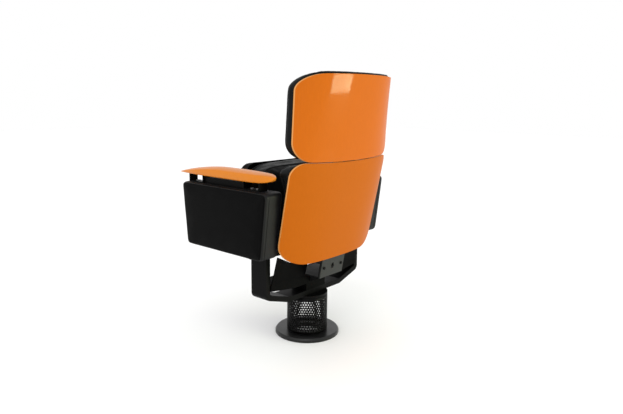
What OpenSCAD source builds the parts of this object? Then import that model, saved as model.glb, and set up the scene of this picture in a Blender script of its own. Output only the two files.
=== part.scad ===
// Auditorium chair on one perforated pedestal, with a seat that tips up.
// The chair faces -Y, +X is the sitter's left, and the origin is on the floor
// at the axis of the pedestal.

/* [Pedestal] */
// Diameter of the floor flange
flange_d = 250; // [200:1:300]
// Thickness of the floor flange
flange_h = 15; // [10:0.5:25]
// Height of the thin step at the flange's rim
rim_h = 9; // [5:0.5:9]
// Width of the thin step at the flange's rim
rim_w = 5; // [2:0.5:10]
// Diameter of the air opening in the flange
air_d = 90; // [60:1:100]
// Diameter of the circle of floor bolts
bolt_circle_d = 124; // [118:1:132]
// Diameter of each floor bolt hole
bolt_hole_d = 11; // [8:0.5:14]
// Number of floor bolt holes
bolt_count = 4; // [3:1:8]
// Outside diameter of the pedestal tube
tube_d = 158; // [150:1:180]
// Wall of the pedestal tube
tube_wall = 3; // [2:0.5:5]
// Height of the pedestal's top above the floor
pedestal_h = 168; // [150:1:260]
// Thickness of the round plate on the tube
top_plate_t = 8; // [5:0.5:12]
// Height of the plain band at the top of the tube
top_band_h = 18; // [12:1:30]
// Diameter of each vent in the tube
vent_d = 12; // [8:0.5:14]
// Number of vents round the tube
vent_columns = 16; // [12:2:20]
// Number of rows of vents
vent_rows = 6; // [4:1:7]

/* [Yoke] */
// Depth of the yoke's uprights in the arm boxes
upright_sink = 13; // [8:0.5:13]
// Thickness of the yoke's bar
yoke_t = 20; // [14:1:22]
// Depth of the yoke's bar, front to back
yoke_depth = 75; // [60:1:90]
// Distance of the yoke's middle behind the pedestal's axis
yoke_back = 5; // [0:1:10]
// Width of the yoke's level middle
yoke_flat_w = 300; // [200:1:320]
// Rise of the yoke's outer corners over its middle
yoke_rise = 37; // [20:1:45]
// Outside radius of the yoke's bends
yoke_bend_r = 23; // [22.5:0.5:30]
// Height of the uprights' tops above the floor
upright_top = 560; // [540:1:575]

/* [Beam] */
// Height of the beam's top above the floor
beam_top = 254; // [250:1:258]
// Depth of the beam, front to back
beam_depth = 84; // [60:1:90]
// Height of the beam in its middle
beam_h = 36; // [30:1:40]
// Height of the beam at its ends
beam_end_h = 20; // [14:1:26]
// Width of the beam's deep middle
beam_mid_w = 260; // [180:1:320]
// Wall of the beam's box section
beam_wall = 4; // [3:0.5:6]
// Width of the neck block
neck_w = 110; // [80:1:140]
// Height of the rear panels over the beam, at their outer ends
panel_up = 112; // [80:1:114]
// Height of the rear panels over the beam, at their inner ends
panel_in_up = 74; // [50:1:76]
// Reach of their top edge behind the beam
panel_back = 30; // [24:1:34]
// Depth of their foot on the beam
panel_foot = 34; // [24:1:40]
// Thickness of the rear panels
panel_t = 3; // [2:0.5:5]
// Gap between a rear panel and its neighbours at both ends
panel_clear = 3; // [2:0.5:6]

/* [Arms] */
// Width of the chair over its arm boxes
arm_span = 682; // [660:1:720]
// Thickness of each arm box
arm_w = 85; // [76:1:95]
// Length of an arm box at its top
arm_len = 440; // [400:1:480]
// Distance of the arm boxes' top rear edge behind the pedestal's axis
arm_back = 113; // [100:1:120]
// How far the front edge slants back, going down
arm_front_slant = 21; // [5:1:40]
// How far the rear edge slants forward, going down
arm_rear_slant = 28; // [5:1:32]
// Height of the arm boxes' underside above the floor
arm_bottom = 368; // [350:1:372]
// Height of an arm box
arm_h = 232; // [220:1:250]
// Radius of an arm box's upholstered edges
arm_edge_r = 13; // [8:0.5:16]
// Radius of an arm box's corners, seen from the side
arm_corner_r = 14; // [13.5:0.5:22]
// Crown of an arm box's broad faces
arm_crown = 3; // [0:0.5:5]
// Thickness of the plywood core
core_t = 30; // [20:1:36]

/* [Arm pads] */
// Length of an arm pad, tip to tip
pad_len = 499; // [440:1:540]
// Width of an arm pad
pad_w = 80; // [60:1:84]
// Height of the pad's side, from its underside to its upper edge
pad_side_h = 27; // [20:1:30]
// Crown of the pad over its upper edge
pad_crown = 9; // [4:1:14]
// Gap between the arm box and an arm pad
pad_gap = 30; // [20:1:40]
// How much higher the rear tip is than the front tip
pad_rise = 20; // [0:1:30]
// How far the front tip reaches past the arm box
pad_overhang = 54; // [30:1:80]
// Length of each pad bracket
bracket_len = 80; // [60:1:90]
// Width of each pad bracket
bracket_w = 36; // [24:1:44]
// Thickness of the pad brackets' steel
bracket_t = 4; // [3:0.5:6]
// Width of the rail that joins a pad's two brackets
rail_w = 22; // [14:1:30]
// Height of that rail over the arm box
rail_h = 24; // [10:1:26]

/* [Seat] */
// Height of the hinge above the floor
hinge_z = 385; // [380:1:395]
// Distance of the hinge in front of the pedestal's axis
hinge_front = 30; // [24:1:32]
// Gap between the seat and each upright
seat_clear = 18; // [16:1:30]
// Reach of the seat in front of its hinge
seat_reach = 296; // [260:1:320]
// Reach of the seat behind its hinge
seat_tail = 62; // [50:1:64]
// Height of the sitting surface over the hinge
seat_over_hinge = 47; // [40:1:50]
// Thickness of the seat cushion
seat_cushion_t = 88; // [70:1:90]
// Crown of the seat cushion
seat_crown = 9; // [0:1:12]
// How far the cushion's front edge is drawn in at its corners
seat_bow = 16; // [0:1:24]
// Height of the seat pan
pan_h = 34; // [20:1:36]
// Wall of the seat pan
pan_wall = 4; // [3:0.5:6]
// Angle the seat turns through, from tipped up to down
seat_turn_angle = 80; // [70:1:82]
// Rise of the seat towards its front when it is down
seat_slope = 3; // [0:0.5:6]

/* [Hinge] */
// Diameter of the hinge pins
pin_d = 16; // [12:0.5:20]
// Wall of the bushes round the hinge pins
bush_wall = 3; // [2:0.5:4]
// Running clearance round a hinge pin, on the radius
pin_play = 0.06; // [0.02:0.01:0.09]
// Thickness of the hinge lugs
lug_t = 5; // [4:0.5:6]
// Outside radius of the hinge lugs
lug_r = 40; // [36:1:44]
// Radius of the curved stop slot's middle
stop_r = 28; // [24:0.5:30]
// Diameter of the stop pins
stop_d = 8; // [6:0.5:9]
// Thickness of the hinge brackets
hinge_plate_t = 5; // [4:0.5:6]

/* [Back] */
// Height of the back's top above the floor
back_top = 986; // [940:1:1040]
// Height of the seam between the two shells
seam_z = 693; // [660:1:720]
// Height of the back's lower edge above the floor
back_bottom = 332; // [320:1:350]
// Distance of the back's top behind the pedestal's axis
back_top_y = 264; // [240:1:290]
// Distance of the seam behind the pedestal's axis
back_seam_y = 212; // [200:1:230]
// Distance of the back's lower edge behind the pedestal's axis
back_bottom_y = 143; // [135:1:155]
// Width of the back at its top
back_top_w = 526; // [480:1:540]
// Width of the back at the seam
back_seam_w = 540; // [500:1:550]
// Width of the back at its lower edge
back_bottom_w = 538; // [500:1:545]
// How far the shells wrap forward at the top
wrap_top = 91; // [60:1:100]
// How far the shells wrap forward at the seam
wrap_seam = 50; // [30:1:60]
// How far the shells wrap forward at the lower edge
wrap_bottom = 54; // [30:1:56]
// Thickness of the shells, front to back
shell_t = 11; // [8:0.5:14]
// Gap between the two shells
seam_gap = 3; // [1:0.5:6]
// Thickness of the head cushion in its middle
head_cushion_t = 82; // [60:1:100]
// Thickness of the head cushion at its sides
head_side_t = 40; // [30:1:50]
// Thickness of the lower cushion in its middle
lower_cushion_t = 76; // [60:1:80]
// Thickness of the lower cushion at its upper sides
lower_side_t = 54; // [40:1:60]
// Thickness of the lower cushion at its lower sides
lower_foot_t = 38; // [30:1:42]
// How far the cushions stand out past the shells
cushion_proud = 5; // [0:0.5:8]
// How far the head cushion rises over the upper shell
head_rise = 11; // [0:0.5:16]

/* [Spine] */
// Width of the spine plate
spine_w = 132; // [110:1:150]
// Thickness of the spine plate
spine_t = 5; // [4:0.5:6]
// Depth of the spine plate's top under the seam
spine_under_seam = 93; // [60:1:140]
// Reach of the head stay over the seam
stay_over_seam = 187; // [150:1:200]
// Height of the spine bracket's rear flange
flange_up = 62; // [50:1:70]
// Height of the ribs under the spine bracket
rib_h = 30; // [20:1:34]
// Length of the slot in the spine plate
slot_len = 22; // [12:1:30]
// Width of the slot in the spine plate
slot_w = 10; // [8:0.5:12]

/* [Hidden] */
// Smoothness of round pieces and of small round pieces
$fn = 96;
small_fn = 32;
// Clearance between fixed neighbours, and the overrun of every cut
fit = 0.3;
over = 2;

// Heights and half widths that several pieces share
arm_out = arm_span / 2;
arm_in = arm_out - arm_w;
yoke_half = arm_in + upright_sink;
upright_in = yoke_half - yoke_t;
yoke_top = pedestal_h + yoke_t;
yoke_front_y = yoke_back - yoke_depth / 2;
yoke_rear_y = yoke_back + yoke_depth / 2;
arm_top = arm_bottom + arm_h;
arm_mid_x = (arm_out + arm_in) / 2;
arm_front_y = arm_back - arm_len;
beam_bottom = beam_top - beam_h;
spine_top = seam_z - spine_under_seam;
stay_top = seam_z + stay_over_seam;
hinge = [0, -hinge_front, hinge_z];

// Bolts of the yoke and the arms, and the screws of the arm pads
bolt_d = 10;
bolt_head_d = 16;
bolt_head_h = 6;
yoke_bolt_circle_share = 0.62;
yoke_bolt_count = 4;
arm_bolt_shares = [0.28, 0.66];

// Screws of the arm pads, the spine plate and the shells
screw_d = 6;
screw_head_d = 11;
screw_head_h = 3;
pad_screw_deep = 30;
shell_screw_deep = 6;
spacer_d = 18;
// Play round the stop pins and beside the springs, and the length of the lugs along the pan
play = 0.8;
lug_len_share = 0.34;

// Shares that shape the shells' corners, as parts of half the width
wrap_power = 3;
head_top_corner_share = 0.32;
head_low_corner_share = 0.26;
low_top_corner_share = 0.20;
low_bottom_corner_share = 0.44;
head_top_corner_h = 52;
head_low_corner_h = 65;
low_top_corner_h = 49;
low_bottom_corner_h = 83;
top_bow = -5;
seam_bow = 8;
bottom_bow = 3;
back_columns = 24;
shell_rows = 6;
cushion_rows = 13;
cushion_edge_r = 22;
cushion_draw_share = 0.012;
cushion_gap = 0.7;
// Clearance between the lower cushion and the arms, and the height where it widens above them
cushion_arm_gap = 5;
cushion_widen_h = 60;
// Room behind the cushions for the spine plate and the head stay
pocket_deep = 17;
pocket_full_share = 0.30;
pocket_end_share = 0.52;
pocket_fade_h = 50;

// Springs at the hinges, and the snug seat of a bush or a pin on its radius
spring_od = 44;
snug = 0.05;

// General helpers

function mix(a, b, t) = a + (b - a) * t;
function unit(v) = v / norm(v);

// Points of an arc about c, from angle a0 to a1, in n steps
function arc_points(c, r, a0, a1, n) =
    [for (i = [0 : n]) c + r * [cos(mix(a0, a1, i / n)), sin(mix(a0, a1, i / n))]];

// The turn from angle a to angle b by the short way
function short_turn(a, b) = let (d = b - a) d > 180 ? d - 360 : d < -180 ? d + 360 : d;

// Points that round the corner b of the path a, b, c with radius r
function round_corner(a, b, c, r, n) =
    let (u = unit(a - b), v = unit(c - b), half = acos(u * v) / 2,
        centre = b + unit(u + v) * r / sin(half),
        p0 = b + u * r / tan(half), p1 = b + v * r / tan(half),
        a0 = atan2(p0[1] - centre[1], p0[0] - centre[0]),
        a1 = atan2(p1[1] - centre[1], p1[0] - centre[0]))
    arc_points(centre, r, a0, a0 + short_turn(a0, a1), n);

// A closed path with each corner rounded by its own radius, where 0 keeps it sharp
function round_path(path, radii, n = 6) =
    let (count = len(path))
    [for (i = [0 : count - 1])
        for (p = radii[i] > 0
            ? round_corner(path[(i + count - 1) % count], path[i], path[(i + 1) % count], radii[i], n)
            : [path[i]]) p];

// A counter-clockwise convex path moved inwards by d
function inset_path(path, d) =
    let (count = len(path))
    [for (i = [0 : count - 1])
        let (e1 = unit(path[i] - path[(i + count - 1) % count]),
            e2 = unit(path[(i + 1) % count] - path[i]),
            n1 = [-e1[1], e1[0]], n2 = [-e2[1], e2[0]])
        path[i] + (n1 + n2) * d / (1 + n1 * n2)];

// A closed solid through rings that all have the same number of points
module ring_solid(rings) {
    count = len(rings[0]);
    last = len(rings) - 1;
    points = [for (ring = rings) for (p = ring) p];
    sides = [for (k = [0 : last - 1]) for (i = [0 : count - 1])
        let (a = k * count + i, b = k * count + (i + 1) % count)
        for (face = [[a, b + count, b], [a, a + count, b + count]]) face];
    polyhedron(points, concat(sides,
        [for (i = [1 : count - 2]) [0, i, i + 1]],
        [for (i = [1 : count - 2]) [last * count, last * count + i + 1, last * count + i]]));
}

// A closed solid between two grids of points, each a list of columns
module grid_solid(back, front) {
    columns = len(back);
    rows = len(back[0]);
    points = concat([for (c = back) for (p = c) p], [for (c = front) for (p = c) p]);
    shift = columns * rows;
    function at(i, j) = i * rows + j;
    faces = concat(
        [for (i = [0 : columns - 2]) for (j = [0 : rows - 2])
            for (f = [[at(i, j), at(i + 1, j + 1), at(i, j + 1)],
                [at(i, j), at(i + 1, j), at(i + 1, j + 1)]]) f],
        [for (i = [0 : columns - 2]) for (j = [0 : rows - 2])
            for (f = [[at(i, j), at(i, j + 1), at(i + 1, j + 1)],
                [at(i, j), at(i + 1, j + 1), at(i + 1, j)]]) f + [shift, shift, shift]],
        [for (i = [0 : columns - 2]) for (j = [0, rows - 1])
            let (a = at(i, j), b = at(i + 1, j), c = b + shift, d = a + shift)
            for (f = j == 0 ? [[a, c, b], [a, d, c]] : [[a, b, c], [a, c, d]]) f],
        [for (j = [0 : rows - 2]) for (i = [0, columns - 1])
            let (a = at(i, j), b = at(i, j + 1), c = b + shift, d = a + shift)
            for (f = i == 0 ? [[a, b, c], [a, c, d]] : [[a, c, b], [a, d, c]]) f]);
    polyhedron(points, faces);
}

// Puts a copy on each side of the chair
module both_sides() {
    for (side = [0, 1]) mirror([side, 0, 0]) children();
}

// Draws the right-hand piece as the left one's mirror image
module as_right() {
    mirror([1, 0, 0]) children();
}

// A bar across the chair, from x0 to x1, with its outline given as [y, z] points
module across(x0, x1) {
    translate([x0, 0, 0]) rotate([90, 0, 90]) linear_extrude(x1 - x0) children();
}

// A round bar along X from x0 to x1 at [y, z]
module round_bar(x0, x1, at, d) {
    translate([x0, at[0], at[1]]) rotate([0, 90, 0]) cylinder(h = x1 - x0, d = d);
}

// Pedestal

module base_flange() {
    color([0.10, 0.10, 0.105]) difference() {
        rotate_extrude() polygon([[air_d / 2, 0], [flange_d / 2, 0], [flange_d / 2, rim_h],
            [flange_d / 2 - rim_w, flange_h], [air_d / 2, flange_h]]);
        for (i = [0 : bolt_count - 1]) rotate(i * 360 / bolt_count)
            translate([bolt_circle_d / 2, 0, -over])
            cylinder(h = flange_h + 2 * over, d = bolt_hole_d, $fn = small_fn);
    }
}

module pedestal_tube() {
    tube_h = pedestal_h - top_plate_t - flange_h;
    vent_span = tube_h - top_band_h + top_plate_t;
    row_step = vent_span / (vent_rows + 1);
    step = 360 / vent_columns;
    color([0.11, 0.11, 0.115]) difference() {
        translate([0, 0, flange_h]) cylinder(h = tube_h, d = tube_d);
        translate([0, 0, flange_h - over]) cylinder(h = tube_h + 2 * over, d = tube_d - 2 * tube_wall);
        for (row = [1 : vent_rows]) for (i = [0 : vent_columns - 1])
            translate([0, 0, flange_h + row * row_step]) rotate((i + (row % 2) / 2) * step)
            translate([tube_d / 2 - tube_wall - over, 0, 0]) rotate([0, 90, 0])
            cylinder(h = tube_wall + 2 * over, d = vent_d, $fn = small_fn / 2);
    }
}

module yoke_bolt_places() {
    for (i = [0 : yoke_bolt_count - 1]) translate([0, yoke_back, 0])
        rotate((i + 1 / 2) * 360 / yoke_bolt_count)
        translate([yoke_depth * yoke_bolt_circle_share / 2, 0, 0]) children();
}

module top_plate() {
    color([0.12, 0.12, 0.125]) difference() {
        translate([0, 0, pedestal_h - top_plate_t]) cylinder(h = top_plate_t, d = tube_d);
        yoke_bolt_places() translate([0, 0, pedestal_h - top_plate_t - over])
            cylinder(h = top_plate_t + 2 * over, d = bolt_d + fit, $fn = small_fn);
    }
}

// Yoke, neck and beam

// Outer edge of one half of the yoke, as [x, z] points going outwards and up
function yoke_edge(inset, bend) =
    let (x = yoke_half - inset, rise = atan2(yoke_rise, yoke_half - yoke_flat_w / 2),
        low = [yoke_flat_w / 2 - inset * tan(rise / 2), pedestal_h + inset],
        corner = [x, pedestal_h + yoke_rise + inset / cos(rise) - inset * tan(rise)])
    concat([low], round_corner(low, corner, [x, upright_top], bend, 6), [[x, upright_top]]);

function mirror_path(path) =
    [for (i = [len(path) - 1 : -1 : 0]) [-path[i][0], path[i][1]]];

module arm_bolt_places() {
    for (share = arm_bolt_shares) translate([0, yoke_back, arm_bottom + arm_h * share]) children();
}

module yoke() {
    outer = yoke_edge(0, yoke_bend_r);
    inner = yoke_edge(yoke_t, yoke_bend_r - yoke_t + over);
    outline = concat(mirror_path(outer), outer,
        [for (i = [len(inner) - 1 : -1 : 0]) inner[i]],
        [for (p = inner) [-p[0], p[1]]]);
    color([0.12, 0.12, 0.12]) difference() {
        translate([0, yoke_rear_y, 0]) rotate([90, 0, 0]) linear_extrude(yoke_depth) polygon(outline);
        yoke_bolt_places() translate([0, 0, pedestal_h - over])
            cylinder(h = yoke_t + 2 * over, d = bolt_d + fit, $fn = small_fn);
        both_sides() arm_bolt_places() round_bar(upright_in - over, yoke_half + over, [0, 0],
            bolt_d + fit, $fn = small_fn);
    }
}

module yoke_bolts() {
    color([0.30, 0.30, 0.31]) yoke_bolt_places() {
        translate([0, 0, pedestal_h - top_plate_t - bolt_head_h])
            cylinder(h = bolt_head_h, d = bolt_head_d, $fn = 6);
        translate([0, 0, pedestal_h - top_plate_t - fit])
            cylinder(h = top_plate_t + yoke_t, d = bolt_d, $fn = small_fn);
    }
}

module neck_block() {
    color([0.07, 0.07, 0.07])
    translate([-neck_w / 2, yoke_front_y, yoke_top])
        cube([neck_w, yoke_depth, beam_bottom - yoke_top]);
}

// Outline of the beam, as [x, z] points, moved inwards by a wall
function beam_outline(wall) =
    let (x = upright_in - wall, mid = beam_mid_w / 2)
    [[-x, beam_top - wall], [-x, beam_top - beam_end_h + wall], [-mid, beam_bottom + wall],
        [mid, beam_bottom + wall], [x, beam_top - beam_end_h + wall], [x, beam_top - wall]];

module seat_beam() {
    color([0.06, 0.06, 0.06]) difference() {
        translate([0, yoke_back + beam_depth / 2, 0]) rotate([90, 0, 0])
            linear_extrude(beam_depth) polygon(beam_outline(0));
        translate([0, yoke_back + beam_depth / 2 - beam_wall, 0]) rotate([90, 0, 0])
            linear_extrude(beam_depth - 2 * beam_wall) polygon(beam_outline(beam_wall));
        both_sides() panel_screw_places() foot_hole();
    }
}

// Panels on the beam that close the space behind the tipped-up seat
panel_in = spine_w / 2 + panel_clear;
panel_out = upright_in - panel_clear;
panel_bend_share = 0.57;
panel_screw_shares = [0.15, 0.85];

module panel_screw_places() {
    for (share = panel_screw_shares)
        translate([mix(panel_in, panel_out, share), beam_rear_y - panel_foot / 2, beam_top]) children();
}

module foot_hole() {
    translate([0, 0, -beam_wall - over])
        cylinder(h = beam_wall + panel_t + 2 * over, d = screw_d + fit, $fn = small_fn);
}

// Front outline of a rear panel as [x, z], its top edge rising outwards under the back
function panel_outline() =
    let (x0 = panel_in - over, x1 = panel_out + over, low = beam_top - over)
    [[x0, low], [x1, low], [x1, beam_top + panel_up],
        [mix(panel_in, panel_out, panel_bend_share), beam_top + panel_in_up],
        [x0, beam_top + panel_in_up]];

module rear_panels() {
    y0 = beam_rear_y - panel_foot;
    y1 = beam_rear_y + panel_back;
    color([0.07, 0.07, 0.07]) both_sides() difference() {
        intersection() {
            across(panel_in, panel_out) polygon([
                [y0, beam_top], [beam_rear_y, beam_top], [y1, beam_top + panel_up + over],
                [y1 - panel_t, beam_top + panel_up + over],
                [beam_rear_y - panel_t, beam_top + panel_t], [y0, beam_top + panel_t]]);
            translate([0, y1 + over, 0]) rotate([90, 0, 0])
                linear_extrude(y1 - y0 + 2 * over) polygon(panel_outline());
        }
        panel_screw_places() foot_hole();
    }
}

module panel_screws() {
    color([0.30, 0.30, 0.31]) both_sides() panel_screw_places() {
        translate([0, 0, panel_t]) cylinder(h = screw_head_h, d = screw_head_d, $fn = small_fn);
        translate([0, 0, -beam_wall - panel_t])
            cylinder(h = beam_wall + 2 * panel_t + fit, d = screw_d, $fn = small_fn);
    }
}

// Arms

arm_crown_share = 0.16;

// Side outline of an arm box as [y, z], counter-clockwise, moved inwards by d
function arm_outline(d) = inset_path([
    [arm_front_y + arm_front_slant, arm_bottom], [arm_back - arm_rear_slant, arm_bottom],
    [arm_back, arm_top], [arm_front_y, arm_top]], d);

// One ring of the upholstered box at x, moved inwards by d
function arm_ring(x, d) =
    [for (p = round_path(arm_outline(d), [for (i = [0 : 3]) max(arm_corner_r - d, over)], 5))
        [x, p[0], p[1]]];

module arm_cover() {
    steps = 4;
    crown_steps = 3;
    crown_inset = arm_h * arm_crown_share;
    inner_side = [for (i = [0 : steps]) let (a = 90 * i / steps)
        arm_ring(arm_in + arm_edge_r * (1 - sin(a)), arm_edge_r * (1 - cos(a)))];
    low_side = [for (i = [steps : -1 : 0]) inner_side[i]];
    high_side = [for (i = [0 : steps]) let (a = 90 * i / steps)
        arm_ring(arm_out - arm_crown - arm_edge_r * (1 - sin(a)), arm_edge_r * (1 - cos(a)))];
    crown = [for (i = [1 : crown_steps]) let (t = i / crown_steps)
        arm_ring(arm_out - arm_crown * (1 - t) * (1 - t), arm_edge_r + crown_inset * t)];
    color([0.09, 0.09, 0.09]) difference() {
        ring_solid(concat(low_side, high_side, crown));
        across(arm_mid_x - core_t / 2 - fit, arm_mid_x + core_t / 2 + fit)
            polygon(arm_outline(arm_edge_r - fit));
        translate([upright_in - over, yoke_front_y - fit, arm_bottom - over])
            cube([yoke_t + over + fit, yoke_depth + 2 * fit, upright_top - arm_bottom + over + fit]);
        arm_holes();
    }
}

// Holes for the bolts from the upright and for the screws of the arm pad
module arm_holes() {
    arm_bolt_places() round_bar(upright_in, arm_mid_x + fit, [0, 0], bolt_d + fit, $fn = small_fn);
    pad_screw_places() translate([0, 0, -pad_screw_deep - fit])
        cylinder(h = pad_screw_deep + over, d = screw_d + fit, $fn = small_fn);
}

module arm_core() {
    color([0.62, 0.47, 0.30]) difference() {
        across(arm_mid_x - core_t / 2, arm_mid_x + core_t / 2) polygon(arm_outline(arm_edge_r));
        arm_holes();
    }
}

module arm_bolts() {
    color([0.30, 0.30, 0.31]) both_sides() arm_bolt_places() {
        round_bar(upright_in - bolt_head_h, upright_in, [0, 0], bolt_head_d, $fn = 6);
        round_bar(upright_in - fit, arm_mid_x, [0, 0], bolt_d, $fn = small_fn);
    }
}

// Arm pads and their brackets

// Places along the arm box's top of the two brackets, as shares of its length
bracket_shares = [0.13, 0.79];
pad_front_y = arm_front_y - pad_overhang;
pad_mid_y = pad_front_y + pad_len / 2;
tip_share = 0.07;
pad_stations = 20;
pad_ring_points = 16;

function bracket_y(share) = arm_front_y + share * arm_len;

// The share t runs along the pad from -1 at its front tip to 1 at its rear tip, which is blunter
function pad_power(t, front, rear) = t < 0 ? front : rear;
function pad_swell(t, power) = 1 - (1 - tip_share) * pow(abs(t), power);
pad_wide_powers = [2.4, 7];
pad_edge_powers = [1.5, 14];
pad_over_power = 3;
pad_side_power = 0.8;
pad_flat_power = 0.5;
pad_round_power = 0.9;

// Height of the pad's upper edge over the arm box, and of its side below that
function pad_edge(t) = pad_gap + pad_side_h - (t < 0 ? pad_side_h : pad_side_h - pad_rise)
    * pow(abs(t), pad_power(t, pad_edge_powers[0], pad_edge_powers[1]));
function pad_side(t) = pad_side_h
    * pad_swell(t, pad_power(t, pad_edge_powers[0], pad_edge_powers[1]));

// One cross-section of the arm pad, flat below and crowned above
function pad_ring(t) =
    let (half = pad_w / 2 * pad_swell(t, pad_power(t, pad_wide_powers[0], pad_wide_powers[1])),
        low = pad_side(t), high = pad_crown * pad_swell(t, pad_over_power),
        y = pad_mid_y + t * pad_len / 2, z = arm_top + pad_edge(t))
    [for (i = [0 : pad_ring_points - 1])
        let (a = 360 * i / pad_ring_points, s = sin(a))
        [arm_mid_x + half * sign(cos(a)) * pow(abs(cos(a)), pad_side_power), y,
            z + (s < 0 ? -low * pow(-s, pad_flat_power) : high * pow(s, pad_round_power))]];

// Height of the pad's underside over the arm box, and of a bracket's leg that starts at y
function pad_under(y) = let (t = (y - pad_mid_y) * 2 / pad_len) pad_edge(t) - pad_side(t);
function leg_top(y) = min(pad_under(y), pad_under(y + bracket_t)) - fit;

module arm_pad() {
    color([0.83, 0.43, 0.14]) ring_solid([for (i = [0 : pad_stations])
        let (t = -cos(180 * i / pad_stations)) pad_ring(t)]);
}

module pad_screw_places() {
    for (share = bracket_shares) for (end = [-1, 1])
        translate([arm_mid_x, bracket_y(share) + end * bracket_len / 6, arm_top]) children();
}

// Side outline of a bracket, a U under the pad
function bracket_outline(share) =
    let (y0 = bracket_y(share) - bracket_len / 2,
        y1 = bracket_y(share) + bracket_len / 2 - bracket_t)
    [[y0, 0], [y1 + bracket_t, 0], [y1 + bracket_t, leg_top(y1)], [y1, leg_top(y1)],
        [y1, bracket_t], [y0 + bracket_t, bracket_t], [y0 + bracket_t, leg_top(y0)],
        [y0, leg_top(y0)]];

module pad_brackets() {
    rail_front_y = bracket_y(bracket_shares[0]) + bracket_len / 2 - bracket_t;
    rail_rear_y = bracket_y(bracket_shares[1]) - bracket_len / 2 + bracket_t;
    color([0.07, 0.07, 0.07]) translate([0, 0, arm_top]) difference() {
        union() {
            for (share = bracket_shares) across(arm_mid_x - bracket_w / 2, arm_mid_x + bracket_w / 2)
                polygon(bracket_outline(share));
            translate([arm_mid_x - rail_w / 2, rail_front_y, 0])
                cube([rail_w, rail_rear_y - rail_front_y, rail_h]);
        }
        for (share = bracket_shares) for (end = [-1, 1])
            translate([arm_mid_x, bracket_y(share) + end * bracket_len / 6, -over])
            cylinder(h = bracket_t + 2 * over, d = screw_d + fit, $fn = small_fn);
    }
}

module pad_screws() {
    color([0.30, 0.30, 0.31]) both_sides() pad_screw_places() {
        translate([0, 0, bracket_t]) cylinder(h = screw_head_h, d = screw_head_d, $fn = small_fn);
        translate([0, 0, -pad_screw_deep])
            cylinder(h = pad_screw_deep + bracket_t + fit, d = screw_d, $fn = small_fn);
    }
}

// Back

// Shape of the back at the height z
function back_share(z) = z > seam_z ? (z - seam_z) / (back_top - seam_z)
    : (z - back_bottom) / (seam_z - back_bottom);
function back_value(z, bottom, seam, top) =
    z > seam_z ? mix(seam, top, back_share(z)) : mix(bottom, seam, back_share(z));
function back_half(z) = back_value(z, back_bottom_w, back_seam_w, back_top_w) / 2;
function back_y(z) = back_value(z, back_bottom_y, back_seam_y, back_top_y);
function back_wrap(z) = back_value(z, wrap_bottom, wrap_seam, wrap_top);

// A point on the shells' rear surface moved forward by d, u from -1 to 1 across
function back_point(u, z, d) =
    [back_half(z) * u, back_y(z) - back_wrap(z) * pow(abs(u), wrap_power) - d, z];

// How far a corner of the outline has turned in at u
function corner_turn(u, share, h) = abs(u) <= 1 - share ? 0
    : h * (1 - sqrt(max(0, 1 - pow((abs(u) - 1 + share) / share, 2))));

// Lower and upper ends of a shell's column at u
function upper_low(u) = seam_z + seam_gap / 2 + seam_bow * u * u
    + corner_turn(u, head_low_corner_share, head_low_corner_h);
function upper_high(u) = back_top + top_bow * u * u
    - corner_turn(u, head_top_corner_share, head_top_corner_h);
function lower_low(u) = back_bottom + bottom_bow * u * u
    + corner_turn(u, low_bottom_corner_share, low_bottom_corner_h);
function lower_high(u) = seam_z - seam_gap / 2 + seam_bow * u * u
    - corner_turn(u, low_top_corner_share, low_top_corner_h);

// Places across the back, set closer together towards the sides
function column_u(i, n) = sin(mix(-90, 90, i / n));
function row_v(j, n) = (1 - cos(180 * j / n)) / 2;

module shell(upper) {
    function low(u) = upper ? upper_low(u) : lower_low(u);
    function high(u) = upper ? upper_high(u) : lower_high(u);
    function grid(d) = [for (i = [0 : back_columns]) let (u = column_u(i, back_columns))
        [for (j = [0 : shell_rows]) back_point(u, mix(low(u), high(u), j / shell_rows), d)]];
    color(upper ? [0.86, 0.45, 0.15] : [0.82, 0.43, 0.15]) difference() {
        grid_solid(grid(0), grid(shell_t));
        if (upper) stay_screw_places() shell_hole(stay_set + fit);
        else spine_screw_places() shell_hole(spine_set + fit);
    }
}

// Blind hole in a shell whose front face lies the distance gap behind a plate
module shell_hole(gap) {
    cylinder(h = gap + shell_screw_deep + fit, d = screw_d + fit, $fn = small_fn);
}

// How far a rounded edge falls at the distance gap from the edge
function edge_fall(gap) = gap >= cushion_edge_r ? 0
    : cushion_edge_r - sqrt(max(0, pow(cushion_edge_r, 2) - pow(cushion_edge_r - gap, 2)));

// A smooth step from 0 to 1
function ease(t) = let (c = min(1, max(0, t))) c * c * (3 - 2 * c);

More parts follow.
